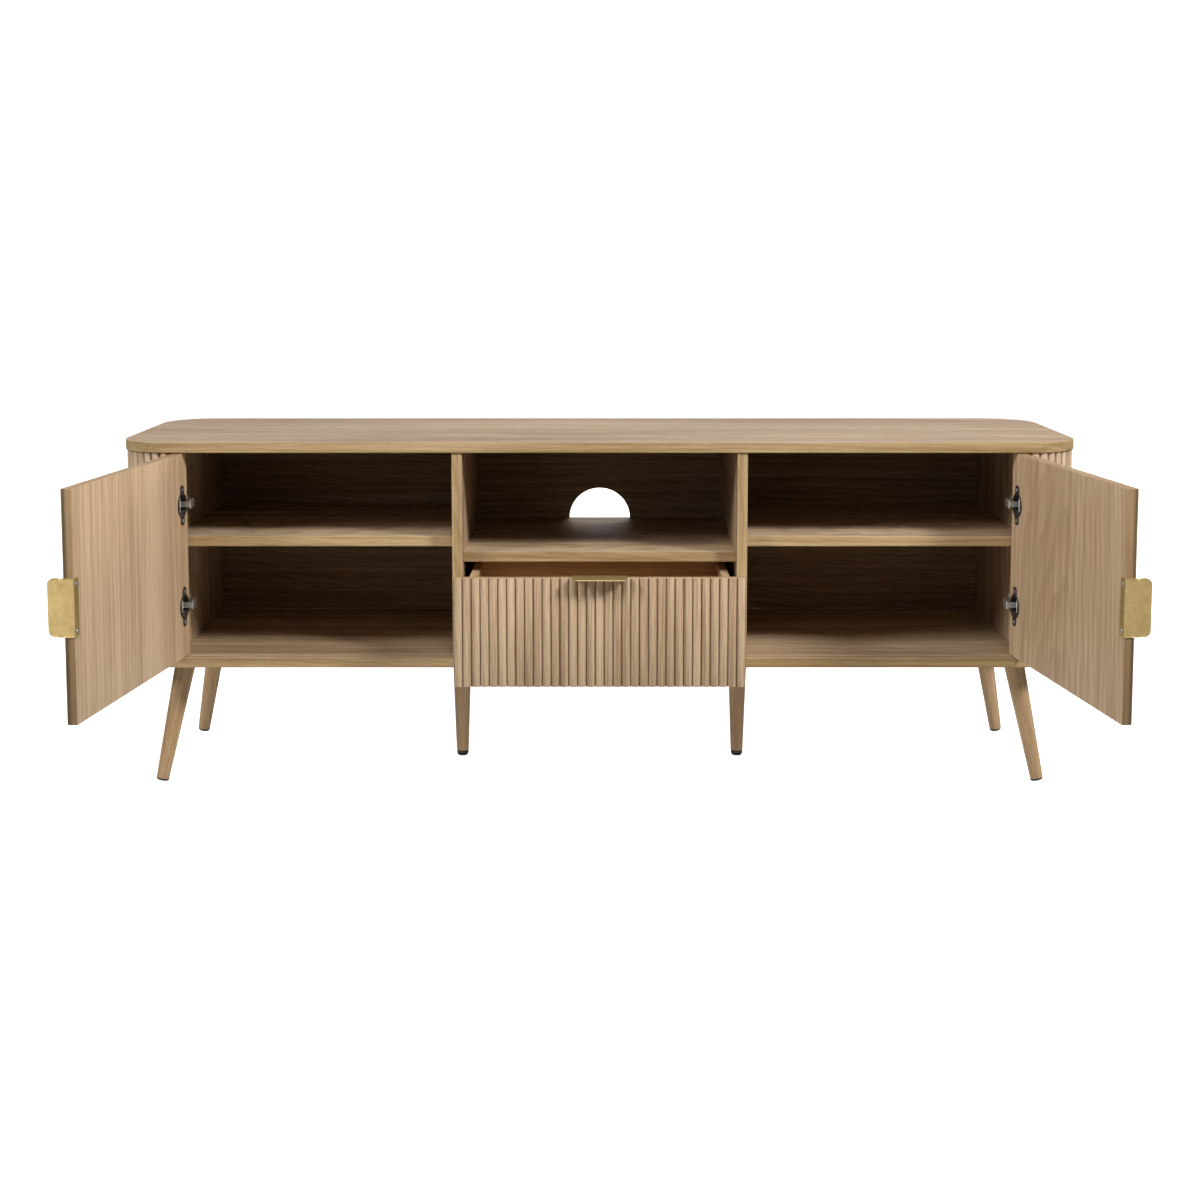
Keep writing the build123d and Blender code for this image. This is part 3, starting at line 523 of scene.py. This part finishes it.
joints = {joint["name"]: joint for joint in frame["joints"]}
hinge = joints["right_door_swing"]
pivot = np.array(hinge["pos_m"][:2])
swing = radians(-hinge["range_deg"][0])
DOOR_FREE_X, DOOR_HINGE_X = 0.232, 0.664
DOOR_REEDS = 34
BOARD = 0.016
CREST_Y = low.y
INNER_Y = CREST_Y + BOARD


def swung(points, side):
    """Points of the shut right door turned open about its hinge pin, and mirrored for the left."""
    x, y = points[..., 0] - pivot[0], points[..., 1] - pivot[1]
    turned = np.stack([x * cos(swing) - y * sin(swing) + pivot[0],
                       x * sin(swing) + y * cos(swing) + pivot[1], points[..., 2]], axis=-1)
    return turned * ((1, 1, 1) if side == "right" else (-1, 1, 1))


def straight_reeds(x, count, crest_y, steps):
    """Reeds side by side along X, with their valley and crest points in two upright planes."""
    ends = np.linspace(*x, count + 1)
    valleys = np.column_stack([ends, np.full(count + 1, crest_y + REED_DEPTH)])
    crests = np.column_stack([(ends[1:] + ends[:-1]) / 2, np.full(count, crest_y)])
    return reeds(valleys, crests, steps)


def basis(direction):
    """Three directions at right angles as rows: two across the given one, then itself."""
    along = np.array(direction, float) / np.linalg.norm(direction)
    first = np.cross((0, 0, 1) if abs(along[2]) < 0.9 else (0, 1, 0), along)
    first /= np.linalg.norm(first)
    return np.stack([first, np.cross(along, first), along])


def turned(start, direction, radius, reach, columns=48, lift=0.0):
    """Round surface: radius and reach along the direction give its rings, lift shifts each point."""
    first, second, along = basis(direction)
    angle = np.linspace(0, 2 * pi, columns + 1)
    spoke = np.cos(angle)[:, None] * first + np.sin(angle)[:, None] * second
    radius, reach = np.asarray(radius, float), np.asarray(reach, float)
    rings = np.asarray(start) + (reach[:, None] + lift)[..., None] * along
    return rings + radius[:, None, None] * spoke


def bored(made, patches):
    """Cuts the shape of some closed grids of points out of a piece, for good."""
    mesh = quad_mesh("cutter", patches)
    sealed(mesh)
    cutter = bpy.data.objects.new("cutter", mesh)
    bpy.context.scene.collection.objects.link(cutter)
    cut = made.modifiers.new("bore", "BOOLEAN")
    cut.operation, cut.object, cut.solver = "DIFFERENCE", cutter, "EXACT"
    seen = made.evaluated_get(bpy.context.evaluated_depsgraph_get())
    whole = bpy.data.meshes.new_from_object(seen)
    made.modifiers.clear()
    made.data = whole
    bpy.data.objects.remove(cutter)


CUP_X, CUP_RADIUS, CUP_DEPTH = 0.642, 0.0175, 0.0108
CUTTER_PROUD = 0.003
HINGE_FROM_END = 0.080
front, groove = straight_reeds((DOOR_FREE_X, DOOR_HINGE_X), DOOR_REEDS, CREST_Y, 10)
across = np.linspace(DOOR_FREE_X, DOOR_HINGE_X, len(front))
back = np.column_stack([across, np.full(len(front), INNER_Y)])
door_low, door_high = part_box("right_door")
for side, sign in (("right", 1), ("left", -1)):
    axes = ((sign * cos(swing), sin(swing), 0), (-sign * sin(swing), cos(swing), 0), (0, 0, 1))
    offset = (0.45, 0.72, 0.1) if side == "right" else (0.42, 0.78, 0.9)
    skin = oak(side + "_door_reeds", axes, (0.2, 0.5, 0.3), REED_OAK, REED_OAK_DEEP, figure=0.7)
    inside = oak(side + "_door_inside", axes, offset, paint(222, 193, 158), paint(186, 155, 121),
                 ring=0.011, lean=0.12, figure=0.9)
    edging = oak(side + "_door_edging", axes, (0.7, 0.3, 0.3), paint(176, 146, 108), paint(140, 110, 78),
                 figure=0.4)
    patches = reeded_patches(front, back, (door_low.z, door_high.z), groove)
    patches = [(swung(grid, side), kind, mark) for grid, kind, mark in patches]
    door = piece(side + "_door_board", patches, [skin, inside, edging], side + "_door", [side + "_door"],
                 crease=50.0)
    bores = []
    radius = np.array([0, 1, 1, 0]) * CUP_RADIUS
    reach = np.array([0, 0, 1, 1]) * (CUP_DEPTH + CUTTER_PROUD)
    for z in (door_low.z + HINGE_FROM_END, door_high.z - HINGE_FROM_END):
        bores.append(swung(turned((CUP_X, INNER_Y - CUP_DEPTH, z), (0, 1, 0), radius, reach, 40), side))
    bored(door, bores)

# ---------------------------------------------------------------- drawer
# A reeded front on a low box of 12 mm boards, grooved for its bottom, drawn part way out on
# side runners.

DRAWER_REEDS = 33
drawer_out = joints["drawer_slide"]["range_m"][0]
low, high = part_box("drawer_front")
front, groove = straight_reeds((low.x, high.x), DRAWER_REEDS, low.y, 10)
back = np.column_stack([np.linspace(low.x, high.x, len(front)), np.full(len(front), high.y)])
drawer_oak = oak("drawer_oak", GRAIN_Z_WIDE_X, (0.3, 0.4, 0.7), paint(218, 190, 156), paint(166, 136, 104),
                 figure=0.7)
drawer_edging = oak("drawer_edging", GRAIN_X, (0.4, 0.1, 0.5), paint(200, 170, 130), paint(164, 132, 96),
                    figure=0.4)
piece("drawer_reeded_front", reeded_patches(front, back, (low.z, high.z), groove),
      [drawer_oak, drawer_edging, drawer_edging], "drawer", ["drawer_front"], crease=50.0)
GRAIN_Y = ((0, 0, 1), (1, 0, 0), (0, 1, 0))
drawer_side_oak = oak("drawer_side_oak", GRAIN_Y, (0.1, 0.3, 0.2), paint(212, 182, 144), paint(172, 140, 104))
drawer_back_oak = oak("drawer_back_oak", GRAIN_X, (0.3, 0.2, 0.2), paint(212, 182, 144), paint(172, 140, 104))
for node, face in (("drawer_left_side", drawer_side_oak), ("drawer_right_side", drawer_side_oak),
                   ("drawer_back", drawer_back_oak), ("drawer_floor", drawer_back_oak)):
    plain_board(node, "drawer", face, face, easing=0.0004)

# ---------------------------------------------------------------- backs, battens and dowels
# Thin printed boards screwed over the rear edges, the centre one cut half round for cables;
# softwood battens behind the wrapped ends, and beech dowels in the joints.

# The backs' foil is painted darker than the other boards', as painted shade for the backs deep inside the
# bays.
back_oak = oak("back_oak", GRAIN_X, (0.5, 0.3, 0.1), paint(172, 144, 108), paint(126, 100, 70), rough=0.62)
batten_pine = oak("batten_pine", GRAIN_Z_WIDE_X, (0.1, 0.1, 0.1), paint(232, 206, 156),
                  paint(196, 156, 100), ring=0.004, rough=0.75)
dowel_beech = oak("dowel_beech", GRAIN_Z_WIDE_X, (0.1, 0.1, 0.1), paint(226, 196, 156),
                  paint(196, 160, 120), ring=0.003, rough=0.7)


def dress(finish, *nodes):
    """Gives CAD nodes a finish."""
    for node in nodes:
        for place in frame["nodes"][node].material_slots:
            place.material = finish


plain_board("left_back_panel", "cabinet", back_oak, back_oak, easing=0.0003)
plain_board("right_back_panel", "cabinet", back_oak, back_oak, easing=0.0003)
dress(back_oak, "centre_back_panel")
dress(batten_pine, "end_battens")
dress(dowel_beech, "dowels")

# ---------------------------------------------------------------- legs
# Six turned legs, tapering to the foot: four splayed out at the corners, square cut at the
# foot, and two upright ones under the partitions. Each is screwed up against a steel plate.

LEG_TOP_RADIUS, LEG_FOOT_RADIUS, LEG_EASING = 0.0163, 0.0101, 0.0008
LEG_HEAD = np.array([0.663, 0.126])
LEG_LEAN = np.array([0.038, 0.027, -0.196])


def leg_patch(head, foot):
    """A tapered round leg, cut level at its top and square at its foot, its foot's edge eased.

    The rings run evenly from the level cut to the foot; each point of the level ring is moved
    along the axis until it lies at the head's height.
    """
    head, foot = np.array(head), np.array(foot)
    along = foot - head
    length = np.linalg.norm(along)
    share = np.concatenate([[0.0], np.linspace(0, 1 - LEG_EASING / length, 12)])
    angle = np.linspace(0, pi / 2, 5)[1:]
    reach = np.concatenate([share * length, length - LEG_EASING * (1 - np.sin(angle)), [length]])
    radius = LEG_TOP_RADIUS + (LEG_FOOT_RADIUS - LEG_TOP_RADIUS) * reach / length
    radius[0] = 0.0
    radius[-5:-1] = LEG_FOOT_RADIUS - LEG_EASING * (1 - np.cos(angle))
    radius[-1] = 0.0
    spokes = np.column_stack([np.cos(np.linspace(0, 2 * pi, 49)), np.sin(np.linspace(0, 2 * pi, 49))])
    tip = basis(along)[:2, 2]
    level = -LEG_TOP_RADIUS * (spokes @ tip) / (along[2] / length)
    lift = level[None, :] * np.clip(1 - reach / length, 0, 1)[:, None]
    lift[0] = 0.0
    wear = np.zeros((len(reach), 49))
    wear[-5:-1] = np.sin(2 * angle)[:, None]
    return turned(head, along, radius, reach, 48, lift), 0, {"rim": wear}


plate_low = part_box("leg_plates")[0].z
for end in ("front", "rear", "centre"):
    for side in ("left", "right"):
        node = f"{end}_{side}_leg"
        low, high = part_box(node)
        sx, sy = (-1 if side == "left" else 1), {"front": -1, "rear": 1, "centre": 0}[end]
        if end == "centre":
            x = (low.x + high.x) / 2
            head, foot = (x, 0, plate_low), (x, 0, low.z)
        else:
            head = (sx * LEG_HEAD[0], sy * LEG_HEAD[1], plate_low)
            along = LEG_LEAN * (sx, sy, 1)
            lean = np.hypot(along[0], along[1]) / np.linalg.norm(along)
            drop = plate_low - low.z - LEG_FOOT_RADIUS * lean
            foot = tuple(np.array(head) - along / along[2] * drop)
        axes = basis(np.array(foot) - np.array(head))
        wood = oak(node + "_oak", axes.tolist(), (0.02 + 0.01 * sx, 0.03, 0.2 * sx + 0.3 * sy),
                   paint(214, 182, 142), paint(170, 136, 98), ring=0.0035, lean=0.03, rough=0.42)
        piece(node + "_turned", [leg_patch(head, foot)], [wood], "cabinet", [node])

# ---------------------------------------------------------------- feet
# A thin black pad across each splayed foot, and a domed black leveller whose stem
# screws up into each upright leg.


def moulded(name, tint, rough):
    """Moulded plastic or black plating: a fine grain, cloudy sheen and pale rubbed rims."""
    f = Finish(name)
    grain = f.noise(f.here, 1400.0, 1400.0, detail=2.0)
    cloud = f.noise(f.here, 60.0, 60.0, detail=3.0)
    rub = f.mark("rim") * cloud.step(0.4, 0.7)
    pale = tuple(min(1.0, 2.6 * channel + 0.03) for channel in tint[:3]) + (1.0,)
    f.set(Base_Color=f.mix(cloud * 0.5 + rub * 0.5, tint, pale), Roughness=rough + cloud * 0.2 - 0.1)
    f.bump(grain, 0.2, 0.0001)
    return f.material


black_plastic = moulded("black_plastic", paint(26, 25, 25), 0.5)
hinge_black = moulded("hinge_black", paint(48, 42, 38), 0.35)


def solids(node):
    """Corners of each separate solid of a CAD node.

    Corners at one place share a number; each triangle's corners take its lowest number, over
    and over, until none changes.
    """
    mesh = frame["nodes"][node].data
    places = np.empty(len(mesh.vertices) * 3, np.float32)
    mesh.vertices.foreach_get("co", places)
    places, same = np.unique(places.reshape(-1, 3).round(6), axis=0, return_inverse=True)
    corners = np.empty(len(mesh.loops), np.int32)
    mesh.loops.foreach_get("vertex_index", corners)
    triangles = same.reshape(-1)[corners].reshape(-1, 3)
    label = np.arange(len(places))
    while True:
        spread = label.copy()
        np.minimum.at(spread, triangles.ravel(), np.repeat(label[triangles].min(axis=1), 3))
        spread = spread[spread]
        if (spread == label).all():
            return [places[label == number] for number in np.unique(label)]
        label = spread


pads = []
for pad in solids("corner_glides"):
    middle = (pad.min(axis=0) + pad.max(axis=0)) / 2
    along = LEG_LEAN * (*np.sign(middle[:2]), 1)
    along /= np.linalg.norm(along)
    radius = np.array([0, 9.8, 9.8, 9.4, 9.0, 8.6, 0]) / 1000
    reach = np.array([-1.5, -1.5, 0.3, 0.9, 1.3, 1.5, 1.5]) / 1000
    pads.append((turned(middle, along, radius, reach, 40), 0, {}))
piece("corner_pads", pads, [black_plastic], "cabinet", ["corner_glides"])
for side in ("left", "right"):
    low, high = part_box(side + "_leveller")
    middle = ((low.x + high.x) / 2, (low.y + high.y) / 2, 0.0)
    arc = np.linspace(0, pi / 2, 9)
    radius = np.concatenate([[0, 6.2], 6.5 + 3.2 * np.sin(arc), [9.7, 9.4, 3.95, 3.95, 3.5, 0]]) / 1000
    dome = 0.15 + 5.35 * (1 - np.cos(arc))
    reach = np.concatenate([[0.0, 0.0], dome, [8.4, 8.7, 8.7, 30.2, 30.7, 30.7]]) / 1000
    foot = turned(middle, (0, 0, 1), radius, reach, 48)
    piece(side + "_leveller_foot", [(foot, 0, {})], [black_plastic], side + "_leveller",
          [side + "_leveller"])

# ---------------------------------------------------------------- steel fittings
# Zinc-plated leg plates, hanger bolts, runners and shelf pins, and nickel-plated hinge arms
# and mounting plates, all pressed or drawn, with faint cloudiness and fine scratches.


def plated(name, tint, rough, spread=1.0):
    """Plated metal: crystals a few millimetres wide, clouds, and fine scratches in two directions."""
    f = Finish(name)
    sockets = {"Vector": f.here, "Scale": 260.0, "Randomness": 1.0}
    crystal = f.node("ShaderNodeTexVoronoi", {"feature": "SMOOTH_F1"}, sockets, output="Distance")
    cloud = f.noise(f.here, 45.0, 45.0, detail=4.0)
    scratch = f.noise(f.here, 2200.0, 30.0, detail=2.0).step(0.55, 0.75)
    dull = tuple(0.72 * channel for channel in tint[:3]) + (1.0,)
    f.set(Base_Color=f.mix((crystal * 0.6 + cloud * 0.7).step(0.2, 0.9), tint, dull), Metallic=1.0)
    f.set(Roughness=rough + cloud * 0.22 + scratch * 0.1 * spread - 0.1)
    f.bump(crystal * 0.4 + scratch, 0.12, 0.0001)
    return f.material


zinc = plated("zinc", paint(196, 196, 192), 0.38)
nickel = plated("nickel", paint(228, 222, 214), 0.46)
runner_zinc = plated("runner_zinc", paint(186, 188, 190), 0.36)
dress(zinc, "leg_plates", "leg_bolts")
dress(nickel, "hinge_arms", "hinge_plates", "left_hinge_pins", "right_hinge_pins")
dress(hinge_black, "left_hinge_cups", "right_hinge_cups")
dress(runner_zinc, "cabinet_runners", "drawer_runners", "left_middle_runner", "right_middle_runner")

# ---------------------------------------------------------------- handles
# One 1.5 mm brass-coloured plate each, folded round the board's edge: a tab to pull, and a
# flange held to the inner face by two screws.


def brass(name, grain_axes):
    """Satin brass plate: brushing drawn out along the handle, finger marks and dull patches."""
    f = Finish(name)
    sockets = {"Vector": f.here, "Rotation": Matrix(grain_axes).to_euler()}
    along = f.node("ShaderNodeMapping", {"vector_type": "POINT"}, sockets)
    brush = f.noise(along, 3600.0, 60.0, detail=3.0)
    touch = f.noise(f.here, 70.0, 70.0, detail=3.0)
    tint = f.mix((brush * 0.5 + touch * 0.6).step(0.25, 0.85), paint(222, 198, 140), paint(190, 162, 106))
    f.set(Base_Color=tint, Metallic=1.0, Roughness=0.38 + brush * 0.12 + touch * 0.2)
    f.bump(brush, 0.1, 0.0001)
    return f.material


HANDLE_HALF, HANDLE_PLATE = 0.040, 0.0015
HANDLE_TAB, HANDLE_FLANGE, HANDLE_BEND = 0.020, 0.0135, 0.0015
HANDLE_CORNER, FLANGE_CORNER = 0.009, 0.004


def handle_sheet():
    """Mid-surface of the folded plate: how far out of the edge, how deep, and along it.

    The line runs straight along the tab, round a quarter circle and along the flange; its
    half length is full but for the last few millimetres at each end, where it follows the
    corner's circle.
    """
    mid = HANDLE_PLATE / 2
    bend = HANDLE_BEND - mid
    tab = np.linspace(0, 1, 26)
    y0, y1 = CREST_Y - HANDLE_TAB, INNER_Y + mid - bend
    tab_y = y0 + (1 - np.cos(tab * pi / 2)) * (y1 - y0)
    angle = np.linspace(0, pi / 2, 7)[1:]
    arc_x = mid - bend + bend * np.cos(angle)
    arc_y = y1 + bend * np.sin(angle)
    flange = np.sin(np.linspace(0, pi / 2, 18)[1:])
    x_end = -HANDLE_FLANGE
    flange_x = (mid - bend) + flange * (x_end - mid + bend)
    x = np.concatenate([np.full(26, mid), arc_x, flange_x])
    y = np.concatenate([tab_y, arc_y, np.full(17, INNER_Y + mid)])
    from_tab, from_flange = y - y0, np.where(y > INNER_Y, x - x_end, 1.0)
    half = np.full(len(x), HANDLE_HALF)
    for distance, radius in ((from_tab, HANDLE_CORNER), (from_flange, FLANGE_CORNER)):
        d = np.clip(radius - distance, 0, radius)
        half = half - (radius - np.sqrt(radius**2 - d**2))
    across = np.linspace(-1, 1, 25)
    shape = (len(x), len(across))
    return np.stack([np.broadcast_to(x[:, None], shape), np.broadcast_to(y[:, None], shape),
                     half[:, None] * across], axis=-1)


def thickened(sheet, thickness):
    """Gives a sheet its thickness and softly rounded arrises."""
    wall = sheet.modifiers.new("wall", "SOLIDIFY")
    wall.thickness, wall.offset = thickness, 0.0
    soft = sheet.modifiers.new("arris", "BEVEL")
    soft.width, soft.segments, soft.limit_method = 0.0003, 2, "ANGLE"
    soft.angle_limit = radians(50)
    return sheet


sheet = handle_sheet()
door_middle = (door_low.z + door_high.z) / 2
for side in ("right", "left"):
    shut = np.stack([DOOR_FREE_X - sheet[..., 0], sheet[..., 1], door_middle - sheet[..., 2]], axis=-1)
    made = piece(side + "_handle_plate", [(swung(shut, side), 0, {})],
                 [brass(side + "_brass", GRAIN_Z_WIDE_X)], side + "_door", [side + "_door_handle"])
    thickened(made, HANDLE_PLATE)
drawer_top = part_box("drawer_front")[1].z
pulled = np.stack([-sheet[..., 2], sheet[..., 1] + drawer_out, drawer_top + sheet[..., 0]], axis=-1)
thickened(piece("drawer_handle_plate", [(pulled, 0, {})], [brass("drawer_brass", GRAIN_X)], "drawer",
                ["drawer_handle"]), HANDLE_PLATE)

# ---------------------------------------------------------------- screws and pins
# Cross-recessed steel screws through every fitting, and smooth steel pins under the shelves.


def screw_patch(head, inward, length, radius, height, shank):
    """A round-headed screw with a cross in its head.

    The rings run over the domed head, down its rim, along the threaded shank to the point.
    The cross is cut where the cosine of twice the angle is large, deeper towards the middle.
    """
    turns = np.linspace(height, length - 2 * shank, 13)
    thread = np.where(np.arange(13) % 2, shank, shank * 0.82)
    r = np.concatenate([np.array([0, 0.2, 0.4, 0.6, 0.82, 1.0, 1.0]) * radius, thread, [0.1 * shank, 0]])
    h = np.concatenate([np.array([0, 0, 0.02, 0.1, 0.3, 0.7, 1.0]) * height, turns, [length, length]])
    angle = np.linspace(0, 2 * pi, 25)
    arms = np.clip((np.abs(np.cos(2 * angle)) - 0.55) / 0.3, 0, 1) * (np.cos(2 * angle) ** 2 > 0.2)
    share = np.clip(1 - (r / (0.62 * radius)) ** 2, 0, 1) * (h <= height * 0.11)
    cut = share[:, None] * np.maximum(arms[None, :], (r < 0.01 * radius)[:, None]) * height * 0.9
    return turned(head, inward, r, h, 24, cut), 0, {}


def screws(name, node, body, inward, radius, height, shank, proud=0.0):
    """Screws in place of a CAD node's: each starts at its solid's outermost ring."""
    patches = []
    for solid in solids(node):
        d = np.array(inward(solid.mean(axis=0)), float)
        d /= np.linalg.norm(d)
        reach = solid @ d
        ring = solid[reach < reach.min() + 1e-4]
        flat = basis(d)
        plan = ring @ flat.T
        middle = (plan.min(axis=0) + plan.max(axis=0)) / 2
        middle[2] = reach.min() - proud
        patches.append(screw_patch(middle @ flat, d, np.ptp(reach) + proud, radius, height + proud, shank))
    piece(name, patches, [zinc], body, [node])


def up(place):
    return (0, 0, 1)


def forward(place):
    return (0, -1, 0)


def outward(place):
    return (np.sign(place[0]), 0, 0)


def centred(place):
    return (-np.sign(place[0]), 0, 0)


screws("carcass_screw_set", "carcass_screws", "cabinet", up, 0.0045, 0.002, 0.0025, proud=0.0004)
screws("leg_plate_screw_set", "leg_plate_screws", "cabinet", up, 0.0038, 0.0018, 0.002)
screws("back_screw_set", "back_screws", "cabinet", forward, 0.0032, 0.0014, 0.0015, proud=0.0004)
screws("runner_screw_set", "runner_screws", "cabinet", outward, 0.0032, 0.0009, 0.00175)
screws("hinge_plate_screw_set", "hinge_plate_screws", "cabinet", outward, 0.0034, 0.0015, 0.00175)
screws("hinge_arm_screw_set", "hinge_arm_screws", "cabinet", outward, 0.0034, 0.0014, 0.002)
screws("drawer_handle_screw_set", "drawer_handle_screws", "drawer", forward, 0.0034, 0.0015, 0.00175)
screws("drawer_screw_set", "drawer_screws", "drawer", centred, 0.0034, 0.0011, 0.0018)
for side, sign in (("left", -1), ("right", 1)):
    towards = (sign * sin(swing), -cos(swing), 0)
    for node, radius, height in (("handle_screws", 0.0034, 0.0015), ("cup_screws", 0.0032, 0.0012)):
        screws(f"{side}_{node[:-1]}_set", f"{side}_{node}", side + "_door", lambda place: towards,
               radius, height, 0.00175)
pins = []
for pin in solids("shelf_pins"):
    low, high = pin.min(axis=0), pin.max(axis=0)
    middle = (low + high) / 2
    radius = np.array([0, 2.1, 2.4, 2.5, 2.5, 2.4, 2.1, 0]) / 1000
    half = (high[0] - low[0]) / 2
    reach = np.array([-1, -1, -0.97, -0.93, 0.93, 0.97, 1, 1]) * half
    pins.append((turned(middle, (1, 0, 0), radius, reach, 24), 0, {}))
piece("shelf_pin_set", pins, [zinc], "cabinet", ["shelf_pins"])
